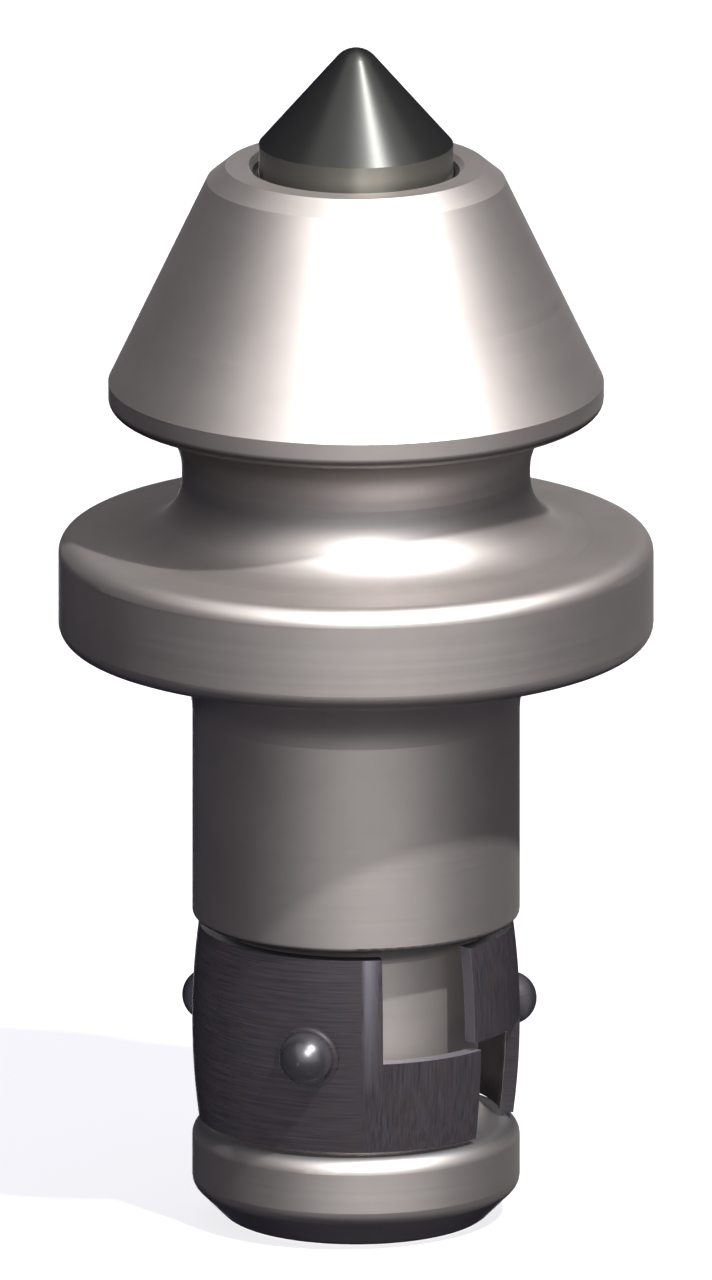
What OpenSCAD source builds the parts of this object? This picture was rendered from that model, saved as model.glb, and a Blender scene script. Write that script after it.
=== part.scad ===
// Round-shank auger tooth: a turned steel pick with a brazed carbide tip
// and a slotted spring sleeve that is trapped on its neck.
// Millimetres. The tooth stands on its foot with its axis on +Z and its front towards -Y.

/* [Shank] */
// Diameter of the shank, and of the foot below the sleeve
shank_d = 30; // [26:0.5:36]
// Length of the full shank, from its shoulder to the underside of the flange
shank_l = 26.1; // [16:0.1:40]
// Rounding of the shank's lower edge
shoulder_round = 0.6; // [0.2:0.1:1.2]
// Radial depth of the neck that is turned into the shank for the sleeve
neck_depth = 3.85; // [3.4:0.05:5]
// Concave fillets at both ends of the neck
neck_fillet = 2; // [0.5:0.1:2.5]

/* [Foot] */
// Height of the foot
foot_h = 9.1; // [7:0.1:14]
// Chamfer round the bottom of the foot, at 45 degrees
foot_chamfer = 3.2; // [2.2:0.1:4]
// Rounding of the foot's upper edge
foot_top_round = 1.6; // [0.4:0.1:2]
// Rounding of both corners of the chamfer
foot_chamfer_round = 1.6; // [0.4:0.1:2]

/* [Flange] */
// Diameter of the flange
flange_d = 54.5; // [48:0.5:64]
// Thickness of the flange
flange_t = 9.7; // [6:0.1:16]
// Rounding of the flange's two outer edges
flange_round = 1.6; // [0.4:0.1:2.5]
// Concave fillet between the shank and the underside of the flange
flange_fillet = 6.7; // [2:0.1:8]

/* [Extraction groove] */
// Clear height of the groove, from the flange to the underside of the head
groove_h = 12.1; // [8:0.1:18]
// Diameter at the bottom of the groove
groove_d = 31.9; // [28:0.1:33]
// Concave fillets in both corners of the groove
groove_fillet = 5.7; // [2:0.1:7]

/* [Head] */
// Largest diameter of the head, at its rim
head_d = 45.4; // [40:0.1:52]
// Height of the head, from its underside to the top of the nose
head_h = 22.9; // [18:0.1:32]
// Height of the straight band round the rim
rim_h = 2.5; // [1.4:0.1:5]
// Rounding of the rim's lower edge
rim_round = 1; // [0.2:0.1:2]
// Diameter of the flat ring on top of the nose
nose_d = 24; // [22:0.1:27]
// Radial width of the chamfer round the nose
nose_chamfer_w = 1.7; // [0.5:0.1:2.5]
// Height of the chamfer round the nose
nose_chamfer_h = 1.4; // [0.5:0.1:2.5]

/* [Carbide tip] */
// Diameter of the tip
tip_d = 17.8; // [14:0.1:19]
// Height of the tip's straight band above the nose
tip_band_h = 2.1; // [0.5:0.1:5]
// Full angle of the tip's cone, in degrees
tip_angle = 82; // [60:1:100]
// Radius of the rounded point
tip_point_r = 2.3; // [0.5:0.1:4]
// Depth of the tip's root below the top of the nose
tip_root_l = 8; // [5:0.1:14]
// Chamfer round the bottom of the root
tip_root_chamfer = 0.8; // [0.2:0.1:1.5]

/* [Socket and braze] */
// Radial gap between the tip and the wall of its socket
socket_gap = 0.3; // [0.1:0.05:0.5]
// Width of the 45 degree countersink at the mouth of the socket
socket_mouth = 0.75; // [0.2:0.05:1]
// Thickness of the braze under the tip
braze_t = 0.25; // [0.1:0.05:0.6]
// Depth of the open gap between the countersink and the top of the braze
braze_recess = 0.9; // [0.2:0.1:2]

/* [Retaining sleeve] */
// Length of the sleeve
sleeve_l = 18.2; // [16:0.1:24]
// Thickness of the spring sheet
sleeve_t = 1.25; // [0.8:0.05:1.4]
// Radial gap between the neck and the ends of the sleeve
sleeve_gap = 2; // [1.6:0.05:2.4]
// How far the middle of the barrel stands out past its ends
sleeve_bulge = 0.6; // [0.3:0.05:1.2]
// Axial gap between the sleeve and the foot
foot_play = 0.4; // [0.2:0.05:0.9]
// Axial gap between the sleeve and the shoulder of the shank
shoulder_play = 0.7; // [0.3:0.05:1.5]

/* [Sleeve slot] */
// Left side of the slot, in degrees from the front towards the right
slot_start = 9.5; // [5:0.5:20]
// Width of the upper window, in degrees
upper_window = 37; // [20:0.5:45]
// Width over which the two tabs pass each other, in degrees
tab_overlap = 3.2; // [1:0.1:8]
// Width of the lower window, in degrees
lower_window = 40.3; // [20:0.1:48]
// Height of the lower tab
lower_tab_h = 8.5; // [6:0.1:10]
// Gap between the two tabs where they pass
tab_gap = 0.8; // [0.3:0.05:1.5]

/* [Sleeve bumps] */
// Radius of the pressed bumps
bump_r = 2.45; // [1.8:0.05:3]
// How far the bumps stand out past the barrel
bump_reach = 3; // [2:0.05:3.4]
// Wall left at the bumps after pressing
bump_wall = 0.9; // [0.6:0.05:1.1]
// Fillet where each bump leaves the barrel
bump_fillet = 0.45; // [0.2:0.05:0.6]
// Place of the front bump, in degrees from the front towards the right
front_bump = -17; // [-30:1:-9]
// Place of the right bump
right_bump = 115; // [110:1:135]
// Place of the left bump
left_bump = 240; // [225:1:260]

/* [Hidden] */

$fn = 96;
// Segments of the long, flat arc of the barrel
barrel_fn = 720;
// How far cutting shapes run past what they cut
cut = 0.5;
// Degrees by which the parts of the slot run into each other
slot_lap = 0.5;
// Largest share of the groove's height that the fillet in one corner may take
corner_share = 0.48;

// Radii
shank_r = shank_d / 2;
neck_r = shank_r - neck_depth;
flange_r = flange_d / 2;
groove_r = groove_d / 2;
head_r = head_d / 2;
nose_r = nose_d / 2;
tip_r = tip_d / 2;
socket_r = tip_r + socket_gap;

// Heights above the bottom of the foot
sleeve_z = foot_h + foot_play;
sleeve_top = sleeve_z + sleeve_l;
shoulder_z = sleeve_top + shoulder_play;
flange_z = shoulder_z + shank_l;
flange_top = flange_z + flange_t;
head_z = flange_top + groove_h;
nose_z = head_z + head_h;
tip_base_z = nose_z - tip_root_l;
socket_z = tip_base_z - braze_t;
countersink_z = nose_z - socket_mouth;
braze_top = countersink_z - braze_recess;
tip_band_top = nose_z + tip_band_h;
tip_apex_z = tip_band_top + tip_r / tan(tip_angle / 2);

// Concave fillets, each limited by the walls that it runs out on
foot_neck_fillet = min(neck_fillet, neck_depth - foot_top_round);
shoulder_neck_fillet = min(neck_fillet, neck_depth - shoulder_round);
shank_flange_fillet = min(flange_fillet, flange_r - flange_round - shank_r);
groove_wall = corner_share * groove_h;
flange_groove_fillet = min(groove_fillet, flange_r - flange_round - groove_r, groove_wall);
head_groove_fillet = min(groove_fillet, head_r - rim_round - groove_r, groove_wall);

// Barrel of the sleeve
sleeve_end_r = neck_r + sleeve_gap + sleeve_t;
sleeve_mid_r = sleeve_end_r + sleeve_bulge;
sleeve_mid_z = sleeve_z + sleeve_l / 2;
barrel_r = (pow(sleeve_l / 2, 2) + pow(sleeve_bulge, 2)) / (2 * sleeve_bulge);

// Edges of the slot, in degrees from the front
upper_tab_edge = slot_start + upper_window;
lower_tab_edge = upper_tab_edge + tab_overlap;
slot_end = lower_tab_edge + lower_window;
lower_tab_top = sleeve_z + lower_tab_h;
upper_tab_bottom = lower_tab_top + tab_gap;

// Centre of each bump's dome, from the axis
bump_centre_r = sleeve_mid_r + bump_reach - bump_r;

// Unit vector along v
function unit(v) = v / norm(v);

// Angle of the corner at b, between its neighbours a and c
function corner_angle(a, b, c) = acos(unit(a - b) * unit(c - b));

// Where an arc that rounds the corner at b touches the side towards a
function touch_point(a, b, c, radius) = b + unit(a - b) * radius / tan(corner_angle(a, b, c) / 2);

// Centre of the arc that rounds the corner at b
function arc_centre(a, b, c, radius) =
    b + unit(unit(a - b) + unit(c - b)) * radius / sin(corner_angle(a, b, c) / 2);

// What the rounding of a standing corner at b takes away, and a little more outside it
module corner_waste(a, b, c, radius) {
    centre = arc_centre(a, b, c, radius);
    difference() {
        polygon([
            touch_point(a, b, c, radius),
            b + unit(b - centre) * cut,
            touch_point(c, b, a, radius)
        ]);
        translate(centre) circle(radius);
    }
}

// An outline drawn anticlockwise through points of [radius, height, rounding of the corner]
module rounded_outline(points) {
    last = len(points) - 1;
    corner = [for (p = points) [p[0], p[1]]];
    rounding = [for (p = points) p[2]];
    before = [for (i = [0 : last]) corner[i == 0 ? last : i - 1]];
    after = [for (i = [0 : last]) corner[i == last ? 0 : i + 1]];
    hollow = [for (i = [0 : last]) cross(corner[i] - before[i], after[i] - corner[i]) < 0];
    difference() {
        // A hollow corner starts as a flat between the ends of its fillet
        polygon([for (i = [0 : last]) each
            hollow[i] && rounding[i] > 0
            ? [touch_point(before[i], corner[i], after[i], rounding[i]),
               touch_point(after[i], corner[i], before[i], rounding[i])]
            : [corner[i]]
        ]);
        for (i = [0 : last])
            if (rounding[i] > 0 && hollow[i])
                translate(arc_centre(before[i], corner[i], after[i], rounding[i])) circle(rounding[i]);
            else if (rounding[i] > 0)
                corner_waste(before[i], corner[i], after[i], rounding[i]);
    }
}

// Turned steel body, from the foot up to the socket in the nose
module pick_body() {
    color("#a59c99")
    rotate_extrude()
    rounded_outline([
        [0, 0, 0],
        [shank_r - foot_chamfer, 0, foot_chamfer_round],
        [shank_r, foot_chamfer, foot_chamfer_round],
        [shank_r, foot_h, foot_top_round],
        [neck_r, foot_h, foot_neck_fillet],
        [neck_r, shoulder_z, shoulder_neck_fillet],
        [shank_r, shoulder_z, shoulder_round],
        [shank_r, flange_z, shank_flange_fillet],
        [flange_r, flange_z, flange_round],
        [flange_r, flange_top, flange_round],
        [groove_r, flange_top, flange_groove_fillet],
        [groove_r, head_z, head_groove_fillet],
        [head_r, head_z, rim_round],
        [head_r, head_z + rim_h, 0],
        [nose_r + nose_chamfer_w, nose_z - nose_chamfer_h, 0],
        [nose_r, nose_z, 0],
        [socket_r + socket_mouth, nose_z, 0],
        [socket_r, countersink_z, 0],
        [socket_r, socket_z, 0],
        [0, socket_z, 0]
    ]);
}

// Carbide insert with a chamfered root and a rounded point
module carbide_tip() {
    color("#2d2b33")
    rotate_extrude()
    difference() {
        polygon([
            [0, tip_base_z],
            [tip_r - tip_root_chamfer, tip_base_z],
            [tip_r, tip_base_z + tip_root_chamfer],
            [tip_r, tip_band_top],
            [0, tip_apex_z]
        ]);
        corner_waste([tip_r, tip_band_top], [0, tip_apex_z], [-tip_r, tip_band_top], tip_point_r);
    }
}

// Braze that fills the socket under and around the root of the tip
module braze_joint() {
    color("#b59b66")
    rotate_extrude()
    polygon([
        [0, socket_z],
        [socket_r, socket_z],
        [socket_r, braze_top],
        [tip_r, braze_top],
        [tip_r, tip_base_z + tip_root_chamfer],
        [tip_r - tip_root_chamfer, tip_base_z],
        [0, tip_base_z]
    ]);
}

// Space inside the barrel surface that lies the given depth under the sleeve's outer face
module barrel_space(depth) {
    rotate_extrude()
    intersection() {
        translate([sleeve_mid_r - barrel_r, sleeve_mid_z]) circle(barrel_r - depth, $fn = barrel_fn);
        translate([0, sleeve_z]) square([sleeve_mid_r + cut, sleeve_l]);
    }
}

// A wedge of the space round the axis, between two angles from the front and two heights
module wedge(from, to, bottom, top) {
    reach = sleeve_mid_r + bump_reach + cut;
    translate([0, 0, bottom])
    rotate(from - 90)
    linear_extrude(top - bottom)
    polygon([
        [0, 0],
        [reach, 0],
        reach * [1, tan((to - from) / 2)],
        reach * [cos(to - from), sin(to - from)]
    ]);
}

// Z-shaped slot: a window above the lower tab, one below the upper tab, and the gap between the tabs
module slot() {
    wedge(slot_start, upper_tab_edge, lower_tab_top, sleeve_top + cut);
    wedge(lower_tab_edge, slot_end, sleeve_z - cut, upper_tab_bottom);
    wedge(upper_tab_edge - slot_lap, lower_tab_edge + slot_lap, lower_tab_top, upper_tab_bottom);
}

// Puts what stands on the origin along +Z on a bump's axis, with its origin at the dome's centre
module at_bump(angle) {
    translate([0, 0, sleeve_mid_z])
    rotate(angle - 90)
    translate([bump_centre_r, 0, 0])
    rotate([0, 90, 0])
    children();
}

// Round dome of a bump, with a flared foot that runs out on the barrel
module bump_dome() {
    // Height of the barrel's surface under the dome's centre, as the dome's axis runs
    skin_z = sleeve_mid_r - bump_centre_r;
    // Radius, round the dome's axis, at which the flare runs out on the barrel
    flare_r = sqrt(pow(bump_r + bump_fillet, 2) - pow(skin_z + bump_fillet, 2));
    sphere(bump_r);
    rotate_extrude()
    difference() {
        translate([0, skin_z - sleeve_t / 2]) square([flare_r, sleeve_t / 2 + bump_fillet]);
        translate([flare_r, skin_z + bump_fillet]) circle(bump_fillet);
    }
}

// Rolled spring sheet with its slot and its three pressed bumps
module retaining_sleeve() {
    bumps = [front_bump, right_bump, left_bump];
    color("#4a484d")
    difference() {
        union() {
            barrel_space(0);
            for (angle = bumps) at_bump(angle) bump_dome();
        }
        barrel_space(sleeve_t);
        for (angle = bumps) at_bump(angle) sphere(bump_r - bump_wall);
        slot();
    }
}

pick_body();
carbide_tip();
braze_joint();
retaining_sleeve();
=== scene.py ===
"""Auger tooth: the finishes of its steel, carbide, braze and spring sleeve, and a studio to show it in.

The tooth stands on its foot, with its axis on +Z and its front towards -Y. Lengths are in metres,
apart from names that end in _mm, and angles are in degrees.
"""

import logging
import math
from collections.abc import Sequence
from dataclasses import dataclass, field
from enum import Enum
from typing import Any, ClassVar

import bpy
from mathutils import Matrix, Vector

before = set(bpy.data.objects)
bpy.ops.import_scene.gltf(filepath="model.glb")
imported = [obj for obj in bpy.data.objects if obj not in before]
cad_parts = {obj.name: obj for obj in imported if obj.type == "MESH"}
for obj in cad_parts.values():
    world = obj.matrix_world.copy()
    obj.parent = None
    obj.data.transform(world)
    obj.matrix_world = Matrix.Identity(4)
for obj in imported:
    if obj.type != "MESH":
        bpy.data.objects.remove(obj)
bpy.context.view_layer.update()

MM = 0.001

# A colour Mix node's sockets: the share of the second colour, the first colour, the second, and the result
SHARE, FIRST, SECOND, MIXED = 0, 6, 7, 2
# The sockets of the two numbers on a number Mix node
ONE, OTHER = 2, 3
# Noise seldom leaves this range, so the patterns spread it over 0 to 1
NOISE_LOW, NOISE_HIGH = 0.3, 0.7
# How many finer noises are laid over the first, and how strong each is beside the one before
NOISE_DETAIL, NOISE_ROUGHNESS = 3.0, 0.6
WHITE = (1.0, 1.0, 1.0, 1.0)

log = logging.getLogger("auger_tooth")

Colour = tuple[float, float, float, float]
Tree = bpy.types.NodeTree
Socket = bpy.types.NodeSocket


def linear(hex_colour: str) -> Colour:
    """Turn an sRGB hex colour into linear light.

    Args:
        hex_colour: a colour such as "#C8C0BC".

    Returns:
        Red, green, blue and an alpha of 1, in linear light.
    """
    channels = [int(hex_colour[i : i + 2], 16) / 255 for i in (1, 3, 5)]
    r, g, b = (c / 12.92 if c <= 0.04045 else ((c + 0.055) / 1.055) ** 2.4 for c in channels)
    return r, g, b, 1.0


def towards(azimuth: float, elevation: float) -> Vector:
    """Give the direction from the tooth towards a lamp or the camera.

    Args:
        azimuth: degrees from the front towards the right.
        elevation: degrees above the floor.

    Returns:
        A unit vector.
    """
    a, e = math.radians(azimuth), math.radians(elevation)
    return Vector((math.sin(a) * math.cos(e), -math.cos(a) * math.cos(e), math.sin(e)))


def add(tree: Tree, kind: str, inputs: Any = (), out: int | str = 0, **settings: Any) -> Socket | None:
    """Add a node with its settings, values and links.

    Args:
        tree: the node tree that the node goes into.
        kind: the node's type, without the "ShaderNode" that starts its name.
        inputs: what the sockets hold, in order, or by name or place in a dict: values, or sockets to link.
        out: the name or place of the output that is wanted.
        settings: attributes of the node.

    Returns:
        That output, or nothing from a node that has none.
    """
    node = tree.nodes.new("ShaderNode" + kind)
    for name, value in settings.items():
        setattr(node, name, value)
    for place, value in inputs.items() if isinstance(inputs, dict) else enumerate(inputs):
        if isinstance(value, Socket):
            tree.links.new(value, node.inputs[place])
        else:
            node.inputs[place].default_value = value
    return node.outputs[out] if node.outputs else None


@dataclass(frozen=True)
class AxisPlace:
    """Sockets that say where a point lies about the tooth's axis, in metres.

    Args:
        point: the point itself.
        x: how far it lies towards the right.
        y: how far it lies towards the back.
        front: how far it lies towards the front.
        height: how far it lies above the foot's bottom.
        radius: how far it lies from the axis.
    """

    point: Socket
    x: Socket
    y: Socket
    front: Socket
    height: Socket
    radius: Socket

    @classmethod
    def in_tree(cls, tree: Tree) -> "AxisPlace":
        """Work out the place of a point.

        Args:
            tree: the material's node tree.

        Returns:
            The sockets of its place.
        """
        point = add(tree, "TexCoord", out="Object")
        x, y, height = add(tree, "SeparateXYZ", (point,)).node.outputs
        front = add(tree, "Math", (y, -1.0), operation="MULTIPLY")
        flat = add(tree, "CombineXYZ", (x, y))
        radius = add(tree, "VectorMath", (flat,), "Value", operation="LENGTH")
        return cls(point, x, y, front, height, radius)

    def angle(self, tree: Tree) -> Socket:
        """Work out the angle from the front towards the right.

        Args:
            tree: the material's node tree.

        Returns:
            The socket of the angle in degrees.
        """
        turn = add(tree, "Math", (self.x, self.front), operation="ARCTAN2")
        return add(tree, "Math", (turn,), operation="DEGREES")

    def turned_normal(self, tree: Tree) -> Socket:
        """Take out of the normal what the facets tilt it round the axis, which no turned face does.

        Args:
            tree: the material's node tree.

        Returns:
            The socket of the normal, in the scene's directions.
        """
        normal = add(tree, "TexCoord", out="Normal")
        across = add(tree, "CombineXYZ", (self.front, self.x))
        around = add(tree, "VectorMath", (across,), operation="NORMALIZE")
        tilt = add(tree, "VectorMath", (normal, around), "Value", operation="DOT_PRODUCT")
        excess = add(tree, "VectorMath", {0: around, "Scale": tilt}, operation="SCALE")
        level = add(tree, "VectorMath", (normal, excess), operation="SUBTRACT")
        unit = add(tree, "VectorMath", (level,), operation="NORMALIZE")
        spaces = {"vector_type": "NORMAL", "convert_from": "OBJECT", "convert_to": "WORLD"}
        return add(tree, "VectorTransform", (unit,), **spaces)


def streaks(tree: Tree, point: Socket, lengths_mm: tuple[float, float, float]) -> Socket:
    """Draw soft streaks by stretching a noise, which leaves no seam at the back.

    Args:
        tree: the material's node tree.
        point: where the pattern is read, in metres.
        lengths_mm: how long a streak is along each of the point's three coordinates.

    Returns:
        A value from 0 to 1.
    """
    scale = [1 / (length * MM) for length in lengths_mm]
    stretched = add(tree, "Mapping", {"Vector": point, "Scale": scale})
    layers = {"Detail": NOISE_DETAIL, "Roughness": NOISE_ROUGHNESS}
    noise = add(tree, "TexNoise", {"Vector": stretched, "Scale": 1.0, **layers})
    return add(tree, "MapRange", (noise, NOISE_LOW, NOISE_HIGH))


def blotches(tree: Tree, point: Socket, size_mm: float) -> Socket:
    """Draw soft patches, such as the play of colour on tempered steel.

    Args:
        tree: the material's node tree.
        point: where the pattern is read, in metres.
        size_mm: how wide a patch is.

    Returns:
        A value from 0 to 1.
    """
    return streaks(tree, point, (size_mm, size_mm, size_mm))


def within(tree: Tree, value: Socket, low: float, high: float) -> Socket:
    """Mask the places where a value lies between two limits.

    Args:
        tree: the material's node tree.
        value: the socket of the value.
        low: the lower limit.
        high: the upper limit.

    Returns:
        1 in those places, and 0 elsewhere.
    """
    over = add(tree, "Math", (value, low), operation="GREATER_THAN")
    under = add(tree, "Math", (value, high), operation="LESS_THAN")
    return add(tree, "Math", (over, under), operation="MULTIPLY")


def soft_band(tree: Tree, value: Socket, limits: Sequence[float]) -> Socket:
    """Mask a band that fades out at both sides.

    Args:
        tree: the material's node tree.
        value: the socket of the value that the band lies along.
        limits: where the band starts, is full, begins to fade, and ends.

    Returns:
        A value from 0 to 1.
    """
    start, full, full_end, end = limits
    rise = add(tree, "MapRange", (value, start, full))
    fall = add(tree, "MapRange", (value, end, full_end))
    return add(tree, "Math", (rise, fall), operation="MULTIPLY")


class Finish:
    """A finish that can be put on a piece."""

    name: ClassVar[str]

    def surface(self, tree: Tree) -> Socket:
        """Build the shader in the tree, and return its output."""
        raise NotImplementedError

    def material(self) -> bpy.types.Material:
        """Build the material.

        Returns:
            The new material, with this finish on its output.
        """
        material = bpy.data.materials.new(self.name)
        material.use_nodes = True
        tree = material.node_tree
        tree.nodes.clear()
        add(tree, "OutputMaterial", {"Surface": self.surface(tree)})
        return material


@dataclass(frozen=True)
class TurnedSteel(Finish):
    """Forged alloy steel, turned all over and tempered: an even satin sheen with faint rings."""

    name: ClassVar[str] = "turned_forged_steel"

    colour: str = "#D4CCC8"
    tempered: str = "#CAC2BE"
    patch_mm: float = 9.0
    # Painted shade in the groove and under the head, under the shoulder over the sleeve and on the foot's
    # top
    #     # round. Each band of it starts at the first height, is full from the second to the third, and
    #     ends at the fourth
    painted_shade_bands_mm: tuple[tuple[float, float, float, float], ...] = (
        (7.9, 8.7, 9.3, 10.0),
        (26.6, 27.6, 28.65, 28.9),
        (66.0, 69.5, 76.9, 77.4),
    )
    # Painted shade in the socket round the tip: darker colour inside this radius, above this height
    socket_shade_from_mm: float = 90.0
    socket_shade_reach_mm: float = 9.5
    # The painted shade's colour, and a darker painted shade under the head, reached between these two
    # heights
    painted_shade_colour: str = "#8E8B8C"
    deep_painted_shade_colour: str = "#5E5B5A"
    deep_shade_from_mm: float = 71.0
    deep_shade_full_mm: float = 74.0
    roughness: float = 0.50
    roughness_spread: float = 0.01
    # Feed marks are about 0.15 mm apart on the real tooth: drawn at 0.35 mm, so that they show at all
    feed_mm: float = 0.35
    ring_length_mm: float = 60.0
    mark_depth_mm: float = 0.0008
    # The rings follow the height less this many times the radius, which changes along every face
    lean: float = 1.7

    def painted_shade(self, tree: Tree, place: AxisPlace) -> Socket:
        """Mask where shade is painted: the groove and the head's underside, the shoulder over the sleeve,
        the foot's top round and the socket.

        Args:
            tree: the material's node tree.
            place: where the point lies.

        Returns:
            A value from 0 to 1.
        """
        near_nose = add(tree, "Math", (place.height, self.socket_shade_from_mm * MM), operation="GREATER_THAN")
        inside = add(tree, "Math", (place.radius, self.socket_shade_reach_mm * MM), operation="LESS_THAN")
        mask = add(tree, "Math", (near_nose, inside), operation="MULTIPLY")
        for limits_mm in self.painted_shade_bands_mm:
            dark = soft_band(tree, place.height, [limit * MM for limit in limits_mm])
            mask = add(tree, "Math", (mask, dark), operation="ADD")
        return mask

    def surface(self, tree: Tree) -> Socket:
        """Build the shader of the turned steel.

        Args:
            tree: the material's node tree.

        Returns:
            The shader's output.
        """
        place = AxisPlace.in_tree(tree)
        leaning = add(tree, "Math", (place.radius, -self.lean, place.height), operation="MULTIPLY_ADD")
        rings_point = add(tree, "CombineXYZ", (place.x, place.y, leaning))
        rings = streaks(tree, rings_point, (self.ring_length_mm, self.ring_length_mm, self.feed_mm))
        patches = blotches(tree, place.point, self.patch_mm)
        plain = {SHARE: patches, FIRST: linear(self.colour), SECOND: linear(self.tempered)}
        bright = add(tree, "Mix", plain, MIXED, data_type="RGBA")
        # Painted shade: the groove, the head's underside, the shoulder, the foot's top round and the
        # socket turn darker
        deep_shade = add(tree, "MapRange", (place.height, self.deep_shade_from_mm * MM, self.deep_shade_full_mm * MM))
        painted_shade_colours = {SHARE: deep_shade, FIRST: linear(self.painted_shade_colour), SECOND: linear(self.deep_painted_shade_colour)}
        painted_shade = add(tree, "Mix", painted_shade_colours, MIXED, data_type="RGBA")
        with_painted_shade = {SHARE: self.painted_shade(tree, place), FIRST: bright, SECOND: painted_shade}
        low, high = self.roughness - self.roughness_spread, self.roughness + self.roughness_spread
        marks = {"Height": rings, "Distance": self.mark_depth_mm * MM, "Normal": place.turned_normal(tree)}
        return add(
            tree,
            "BsdfPrincipled",
            {
                "Base Color": add(tree, "Mix", with_painted_shade, MIXED, data_type="RGBA"),
                "Metallic": 1.0,
                "Roughness": add(tree, "MapRange", (rings, 0.0, 1.0, low, high)),
                "Normal": add(tree, "Bump", marks),
            },
        )


@dataclass(frozen=True)
class SinteredCarbide(Finish):
    """Tungsten carbide in cobalt: a lapped cone, near black with a bright glint, over a paler ground band.

    Grinding marks run round the tip, so its highlights stretch along it.
    """

    name: ClassVar[str] = "sintered_tungsten_carbide"

    cone_colour: str = "#40403E"
    band_colour: str = "#65645D"
    cone_metallic: float = 0.8
    band_metallic: float = 0.75
    roughness: float = 0.34
    roughness_spread: float = 0.02
    cone_stretch: float = 0.5
    band_stretch: float = 0.88
    quarter_turn: float = 0.25
    band_top_mm: float = 101.3
    # Lapping lines on the cone are finer than 0.1 mm: drawn at 0.2 mm
    line_mm: float = 0.2
    line_length_mm: float = 30.0
    line_depth_mm: float = 0.0006

    def surface(self, tree: Tree) -> Socket:
        """Build the shader of the tip.

        Args:
            tree: the material's node tree.

        Returns:
            The shader's output.
        """
        place = AxisPlace.in_tree(tree)
        on_cone = add(tree, "Math", (place.height, self.band_top_mm * MM), operation="GREATER_THAN")
        lines = streaks(tree, place.point, (self.line_length_mm, self.line_length_mm, self.line_mm))
        colours = {SHARE: on_cone, FIRST: linear(self.band_colour), SECOND: linear(self.cone_colour)}
        metallic = add(tree, "MapRange", (on_cone, 0.0, 1.0, self.band_metallic, self.cone_metallic))
        stretch = add(tree, "MapRange", (on_cone, 0.0, 1.0, self.band_stretch, self.cone_stretch))
        roughness = (lines, self.roughness_spread, self.roughness)
        marks = {"Height": lines, "Distance": self.line_depth_mm * MM, "Normal": place.turned_normal(tree)}
        return add(
            tree,
            "BsdfPrincipled",
            {
                "Base Color": add(tree, "Mix", colours, MIXED, data_type="RGBA"),
                "Metallic": metallic,
                "Roughness": add(tree, "Math", roughness, operation="MULTIPLY_ADD"),
                "Anisotropic": stretch,
                "Anisotropic Rotation": self.quarter_turn,
                "Tangent": add(tree, "Tangent", direction_type="RADIAL", axis="Z"),
                "Normal": add(tree, "Bump", marks),
            },
        )


@dataclass(frozen=True)
class SilverBraze(Finish):
    """Silver and copper braze that has run round the root of the tip: a warm, slightly dull metal."""

    name: ClassVar[str] = "silver_braze"

    # Both colours are darkened as painted shade, since the braze lies down in the gap round the tip; the
    # second also gives random tarnish
    colour: str = "#6E624C"
    tarnish_and_shade: str = "#4C4334"
    roughness: float = 0.42
    roughness_spread: float = 0.06
    grain_mm: float = 0.4
    grain_depth_mm: float = 0.01

    def surface(self, tree: Tree) -> Socket:
        """Build the shader of the braze.

        Args:
            tree: the material's node tree.

        Returns:
            The shader's output.
        """
        grain = blotches(tree, add(tree, "TexCoord", out="Object"), self.grain_mm)
        colours = {SHARE: grain, FIRST: linear(self.colour), SECOND: linear(self.tarnish_and_shade)}
        low, high = self.roughness - self.roughness_spread, self.roughness + self.roughness_spread
        return add(
            tree,
            "BsdfPrincipled",
            {
                "Base Color": add(tree, "Mix", colours, MIXED, data_type="RGBA"),
                "Metallic": 1.0,
                "Roughness": add(tree, "MapRange", (grain, 0.0, 1.0, low, high)),
                "Normal": add(tree, "Bump", {"Height": grain, "Distance": self.grain_depth_mm * MM}),
            },
        )


class Grain(Enum):
    """Which way the brush lines run on the spring sheet."""

    AROUND = "around"
    ALONG = "along"


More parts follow.
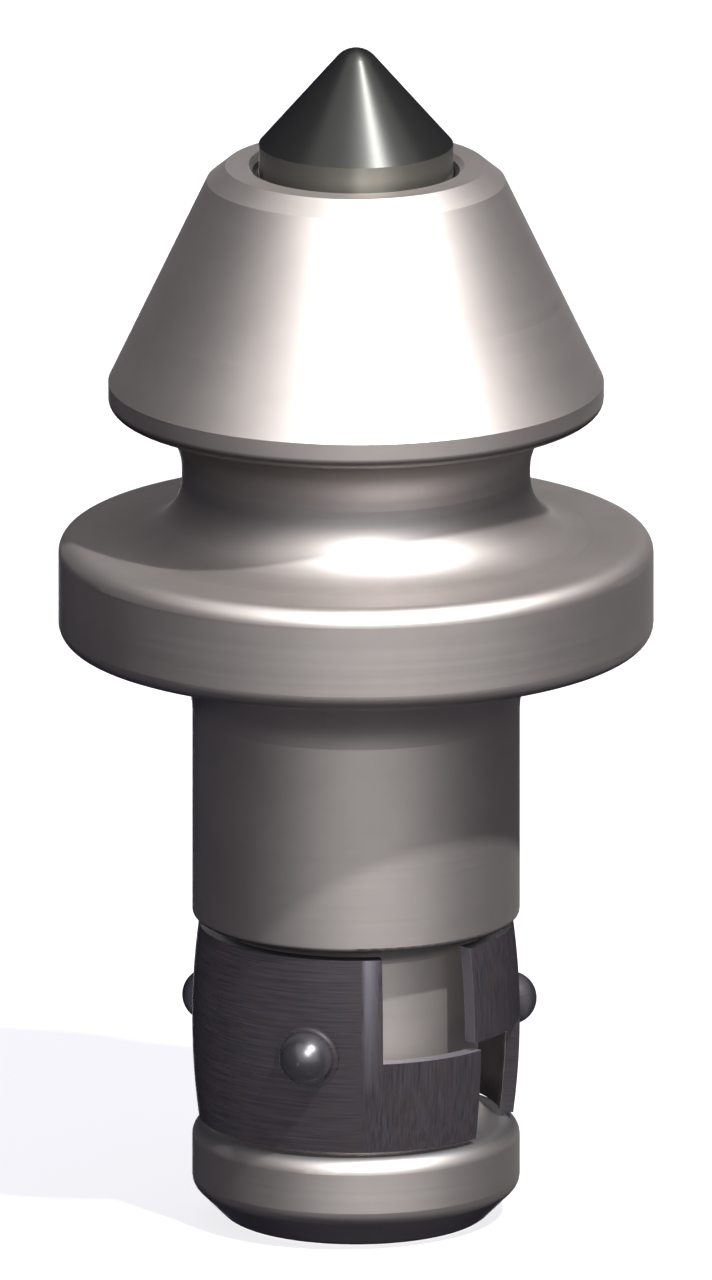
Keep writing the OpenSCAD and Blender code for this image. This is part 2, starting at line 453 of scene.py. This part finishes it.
@dataclass(frozen=True)
class BrushedSpringSteel(Finish):
    """Spring steel sheet, hardened to a dark oxide and brushed: nearly black, with fine soft lines.

    The lines run round the sleeve, and along it on the tabs and beside the slot. The oxide hides most of
    the metal's shine, but the tops of the pressed bumps are rubbed smooth.
    """

    name: ClassVar[str] = "brushed_spring_steel"

    # Each pair is the darkest and the palest colour of the brush lines
    around_colours: tuple[str, str] = ("#222124", "#333136")
    along_colours: tuple[str, str] = ("#1F1D21", "#343236")
    # Tempering leaves faint brownish patches
    temper_colour: str = "#352A28"
    temper_share: float = 0.45
    temper_patch_mm: float = 2.2
    highlight_strip_colour: str = "#56545A"
    face_colour: str = "#4C494D"
    ledge_highlight_colour: str = "#5E5B60"
    top_end_shade_colour: str = "#131216"
    bump_colour: str = "#5E5C60"
    metallic: float = 0.25
    rubbed_metallic: float = 0.85
    oxide_shine: float = 0.3
    roughness: float = 0.50
    roughness_spread: float = 0.05
    rubbed_roughness: float = 0.32
    # Brush lines are about 0.05 mm wide: drawn at 0.16 mm
    line_mm: float = 0.16
    line_length_mm: float = 5.0
    line_depth_mm: float = 0.003
    # The slot's field, from the start of the painted highlight strip, a little to the right of the front,
    # to the slot's far edge
    slot_field: tuple[float, float] = (2.0, 89.8)
    # A painted highlight on a strip beside the slot, where the curved sheet turns towards the lamps. It
    # starts at
    #     # the first angle, is full from the second to the third, and ends at the fourth. It is brightest
    #     at the top
    painted_highlight_strip: tuple[float, float, float, float] = (2.0, 3.6, 5.0, 8.8)
    highlight_from_mm: float = 15.0
    highlight_full_mm: float = 28.0
    # The cut face of the upper tab, a painted highlight on the ledge on top of the lower tab, and painted
    #     # shade on the top end, under the shoulder
    face: tuple[float, float] = (46.35, 46.65)
    face_from_mm: float = 18.4
    lit_ledge: tuple[float, float] = (9.7, 49.7)
    ledge_mm: tuple[float, float] = (17.97, 18.1)
    shaded_top_end_mm: float = 27.68
    bump_from_mm: float = 15.5
    bump_full_mm: float = 17.0

    def lines(self, tree: Tree, place: AxisPlace, grain: Grain) -> Socket:
        """Draw the brush lines.

        Args:
            tree: the material's node tree.
            place: where the point lies.
            grain: which way the lines run.

        Returns:
            A value from 0 to 1.
        """
        if grain is Grain.AROUND:
            return streaks(tree, place.point, (self.line_length_mm, self.line_length_mm, self.line_mm))
        return streaks(tree, place.point, (self.line_mm, self.line_mm, self.line_length_mm))

    def sheet(self, tree: Tree, place: AxisPlace, on_field: Socket) -> tuple[Socket, Socket]:
        """Brush the plain sheet.

        Args:
            tree: the material's node tree.
            place: where the point lies.
            on_field: 1 on the tabs and beside the slot, and 0 elsewhere.

        Returns:
            The brush lines, from 0 to 1, and the colour.
        """
        around, along = (self.lines(tree, place, grain) for grain in Grain)
        lines = add(tree, "Mix", {SHARE: on_field, ONE: around, OTHER: along})
        tones = []
        for around_colour, along_colour in zip(self.around_colours, self.along_colours):
            tone = {SHARE: on_field, FIRST: linear(around_colour), SECOND: linear(along_colour)}
            tones.append(add(tree, "Mix", tone, MIXED, data_type="RGBA"))
        brushed = {SHARE: lines, FIRST: tones[0], SECOND: tones[1]}
        return lines, add(tree, "Mix", brushed, MIXED, data_type="RGBA")

    def layers(self, tree: Tree, place: AxisPlace, angle: Socket) -> tuple[tuple[Socket, str], ...]:
        """Mask what lies over the plain sheet, from the lowest layer up, with painted highlights and
        painted shade among it.

        Args:
            tree: the material's node tree.
            place: where the point lies.
            angle: its angle in degrees.

        Returns:
            The mask and the colour of each layer.
        """
        patches = blotches(tree, place.point, self.temper_patch_mm)
        temper = add(tree, "Math", (patches, self.temper_share), operation="MULTIPLY")
        # Painted highlight beside the slot, fading out downwards
        rise = add(tree, "MapRange", (place.height, self.highlight_from_mm * MM, self.highlight_full_mm * MM))
        highlight_strip = add(tree, "Math", (soft_band(tree, angle, self.painted_highlight_strip), rise), operation="MULTIPLY")
        on_tab = add(tree, "Math", (place.height, self.face_from_mm * MM), operation="GREATER_THAN")
        face = add(tree, "Math", (within(tree, angle, *self.face), on_tab), operation="MULTIPLY")
        # Painted highlight on the top of the lower tab, where light falls on it
        level = within(tree, place.height, *(limit * MM for limit in self.ledge_mm))
        lit_ledge = add(tree, "Math", (within(tree, angle, *self.lit_ledge), level), operation="MULTIPLY")
        # Painted shade on the sleeve's top end, under the shoulder
        shaded_top_end = add(tree, "Math", (place.height, self.shaded_top_end_mm * MM), operation="GREATER_THAN")
        return (
            (temper, self.temper_colour),
            (highlight_strip, self.highlight_strip_colour),
            (face, self.face_colour),
            (lit_ledge, self.ledge_highlight_colour),
            (shaded_top_end, self.top_end_shade_colour),
        )

    def surface(self, tree: Tree) -> Socket:
        """Build the shader of the sleeve.

        Args:
            tree: the material's node tree.

        Returns:
            The shader's output.
        """
        place = AxisPlace.in_tree(tree)
        angle = place.angle(tree)
        lines, colour = self.sheet(tree, place, within(tree, angle, *self.slot_field))
        bump = add(tree, "MapRange", (place.radius, self.bump_from_mm * MM, self.bump_full_mm * MM))
        for share, over in (*self.layers(tree, place, angle), (bump, self.bump_colour)):
            layer = {SHARE: share, FIRST: colour, SECOND: linear(over)}
            colour = add(tree, "Mix", layer, MIXED, data_type="RGBA")
        low, high = self.roughness - self.roughness_spread, self.roughness + self.roughness_spread
        brushed = add(tree, "MapRange", (lines, 0.0, 1.0, low, high))
        depth = add(tree, "MapRange", (bump, 0.0, 1.0, 1.0, 0.0))
        marks = {"Strength": depth, "Height": lines, "Distance": self.line_depth_mm * MM}
        return add(
            tree,
            "BsdfPrincipled",
            {
                "Base Color": colour,
                "Metallic": add(tree, "MapRange", (bump, 0.0, 1.0, self.metallic, self.rubbed_metallic)),
                "Roughness": add(tree, "Mix", {SHARE: bump, ONE: brushed, OTHER: self.rubbed_roughness}),
                "Specular IOR Level": self.oxide_shine,
                "Normal": add(tree, "Bump", marks),
            },
        )


def dress(node: str, finish: Finish) -> bpy.types.Object:
    """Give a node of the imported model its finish.

    Args:
        node: the node's name.
        finish: the finish for all of it.

    Returns:
        The node's object.
    """
    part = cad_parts[node]
    material = finish.material()
    for slot in part.material_slots:
        slot.material = material
    return part


@dataclass
class Pick:
    """The turned body with its brazed tip."""

    steel: TurnedSteel = field(default_factory=TurnedSteel)
    carbide: SinteredCarbide = field(default_factory=SinteredCarbide)
    braze: SilverBraze = field(default_factory=SilverBraze)

    def build(self) -> list[bpy.types.Object]:
        """Dress the body, the tip and the braze.

        Returns:
            The three pieces.
        """
        return [
            dress("pick_body", self.steel),
            dress("carbide_tip", self.carbide),
            dress("braze_joint", self.braze),
        ]


@dataclass
class Retainer:
    """The slotted spring sleeve on the neck."""

    spring: BrushedSpringSteel = field(default_factory=BrushedSpringSteel)

    def build(self) -> list[bpy.types.Object]:
        """Dress the sleeve, and return it."""
        return [dress("retaining_sleeve", self.spring)]


@dataclass(frozen=True)
class Lamp:
    """A distant studio lamp."""

    name: str
    azimuth: float
    elevation: float
    strength: float
    width: float
    casts_shadow: bool = True

    def build(self) -> None:
        """Make the lamp."""
        light = bpy.data.lights.new(self.name, "SUN")
        light.energy = self.strength
        light.angle = math.radians(self.width)
        light.use_shadow = self.casts_shadow
        lamp = bpy.data.objects.new(self.name, light)
        bpy.context.scene.collection.objects.link(lamp)
        lamp.rotation_mode = "QUATERNION"
        lamp.rotation_quaternion = towards(self.azimuth, self.elevation).to_track_quat("Z", "Y")


@dataclass(frozen=True)
class FloorPaint(Finish):
    """Pale matt paint, nearly white to the camera, metal and glass, and clear from below."""

    name: ClassVar[str] = "pale_floor"

    colour: str = "#ECEBEA"
    # The share of its brightness that doesn't come from the lamps, so that shadows stay pale
    lift: float = 0.6

    def surface(self, tree: Tree) -> Socket:
        """Build the shader of the floor.

        Args:
            tree: the material's node tree.

        Returns:
            The shader's output.
        """
        share = add(tree, "Math", (seen_directly(tree), self.lift), operation="MULTIPLY")
        paint = add(tree, "BsdfDiffuse", {"Color": linear(self.colour)})
        glow = add(tree, "Emission", {"Color": WHITE, "Strength": 1.0})
        top = add(tree, "MixShader", (share, paint, glow))
        from_below = add(tree, "NewGeometry", out="Backfacing")
        return add(tree, "MixShader", (from_below, top, add(tree, "BsdfTransparent")))


@dataclass(frozen=True)
class DarkCloth(Finish):
    """Dark grey felt, as even as an unlit card."""

    name: ClassVar[str] = "dark_cloth"

    colour: str = "#1D1C2A"

    def surface(self, tree: Tree) -> Socket:
        """Build the shader in the tree, and return its output."""
        return add(tree, "Emission", {"Color": linear(self.colour), "Strength": 1.0})


def seen_directly(tree: Tree) -> Socket:
    """Tell the rays that show the background from those that carry its light.

    Args:
        tree: the node tree of the world or of a material.

    Returns:
        1 for the camera's rays and for those mirrored by metal or passed by glass, and 0 for the rest.
    """
    path = add(tree, "LightPath").node.outputs
    seen = add(tree, "Math", (path["Is Camera Ray"], path["Is Glossy Ray"]), operation="ADD")
    return add(tree, "Math", (seen, path["Is Transmission Ray"]), operation="ADD", use_clamp=True)


@dataclass
class Studio:
    """A white room with a pale floor, lamps, the camera, and dark cloth that only the metal sees."""

    lamps: tuple[Lamp, ...] = (
        Lamp("key_lamp", azimuth=37, elevation=55, strength=4.9, width=2.5),
        Lamp("fill_lamp", azimuth=8, elevation=38, strength=2.8, width=12, casts_shadow=False),
        # Light that the floor behind the tooth throws back, for the views from behind
        Lamp("bounce_lamp", azimuth=180, elevation=-12, strength=1.6, width=20, casts_shadow=False),
    )
    ambient_colour: str = "#B0AFD0"
    floor_size: float = 4.0
    floor_mm: float = -0.05
    cloth_radius: float = 0.45
    cloth_segments: int = 72
    cloth_rings: int = 36
    # The cloth's top edge, as azimuths and elevations: open at the front, and highest behind
    cloth_edge: tuple[tuple[float, float], ...] = (
        (-180, 72), (-120, 70), (-85, 62), (-50, 33), (-33, 18), (-32, 0),
        (54, 0), (55, 34), (85, 42), (110, 58), (130, 68), (180, 72),
    )
    floor_cloth_radius: float = 3.0
    floor_cloth_mm: float = 0.1
    camera_elevation: float = 15.0
    camera_distance: float = 1.0
    clip: tuple[float, float] = (0.01, 10.0)
    # What the photo's frame shows: the height of its middle above the foot's bottom, and how tall it is
    aim_height: float = 0.05424
    frame_height: float = 0.11714

    def white_room(self) -> None:
        """Make the world white where it is seen, and dim as a light."""
        world = bpy.data.worlds.new("white_room")
        bpy.context.scene.world = world
        world.use_nodes = True
        tree = world.node_tree
        tree.nodes.clear()
        colours = {SHARE: seen_directly(tree), FIRST: linear(self.ambient_colour), SECOND: WHITE}
        colour = add(tree, "Mix", colours, MIXED, data_type="RGBA")
        add(tree, "OutputWorld", {"Surface": add(tree, "Background", (colour, 1.0))})

    def floor(self) -> None:
        """Make the pale floor, a hair under the tooth's foot."""
        bpy.ops.mesh.primitive_plane_add(size=self.floor_size, location=(0, 0, self.floor_mm * MM))
        floor = bpy.context.object
        floor.name = "pale_floor"
        floor.data.materials.append(FloorPaint().material())

    def in_the_open(self, centre: Vector) -> bool:
        """Tell whether the cloth leaves a place open.

        Args:
            centre: the middle of a face of the dome that the cloth is cut from.

        Returns:
            True below the floor and above the cloth's top edge.
        """
        azimuth = math.degrees(math.atan2(centre.x, -centre.y))
        elevation = math.degrees(math.asin(centre.z / centre.length))
        if elevation < 0:
            return True
        for (left, left_top), (right, right_top) in zip(self.cloth_edge, self.cloth_edge[1:]):
            if left <= azimuth <= right:
                return elevation > left_top + (right_top - left_top) * (azimuth - left) / (right - left)
        return False

    def dark_cloth(self) -> None:
        """Hang dark cloth left, right and behind, and lay it on the floor; only reflections see it."""
        bpy.ops.mesh.primitive_uv_sphere_add(
            segments=self.cloth_segments, ring_count=self.cloth_rings, radius=self.cloth_radius
        )
        wall = bpy.context.object
        wall.name = "dark_cloth"
        bpy.ops.object.mode_set(mode="EDIT")
        bpy.ops.mesh.select_all(action="DESELECT")
        bpy.ops.object.mode_set(mode="OBJECT")
        for face in wall.data.polygons:
            face.select = self.in_the_open(face.center)
        bpy.ops.object.mode_set(mode="EDIT")
        bpy.ops.mesh.delete(type="FACE")
        bpy.ops.object.mode_set(mode="OBJECT")
        bpy.ops.mesh.primitive_circle_add(
            vertices=self.cloth_segments,
            radius=self.floor_cloth_radius,
            fill_type="NGON",
            location=(0, 0, self.floor_cloth_mm * MM),
        )
        rug = bpy.context.object
        rug.name = "dark_cloth_on_floor"
        felt = DarkCloth().material()
        for cloth in (wall, rug):
            cloth.data.materials.append(felt)
            cloth.visible_camera = False
            cloth.visible_diffuse = False
            cloth.visible_shadow = False

    def camera(self) -> None:
        """Set up the camera at the height and framing of the picture."""
        view = bpy.data.cameras.new("camera")
        view.type = "ORTHO"
        view.ortho_scale = self.frame_height
        view.clip_start, view.clip_end = self.clip
        camera = bpy.data.objects.new("camera", view)
        bpy.context.scene.collection.objects.link(camera)
        away = towards(0, self.camera_elevation)
        camera.location = Vector((0, 0, self.aim_height)) + away * self.camera_distance
        camera.rotation_mode = "QUATERNION"
        camera.rotation_quaternion = (-away).to_track_quat("-Z", "Y")
        bpy.context.scene.camera = camera

    def build(self) -> None:
        """Build all of the studio."""
        bpy.context.scene.view_settings.view_transform = "Standard"
        self.white_room()
        self.floor()
        self.dark_cloth()
        self.camera()
        for lamp in self.lamps:
            lamp.build()


def main() -> None:
    """Dress the tooth piece by piece, then build the studio."""
    logging.basicConfig(level=logging.INFO, format="%(message)s")
    for assembly in (Pick(), Retainer()):
        for piece in assembly.build():
            log.info("%s: %s, %d faces", type(assembly).__name__, piece.name, len(piece.data.polygons))
    Studio().build()


if __name__ == "__main__":
    main()
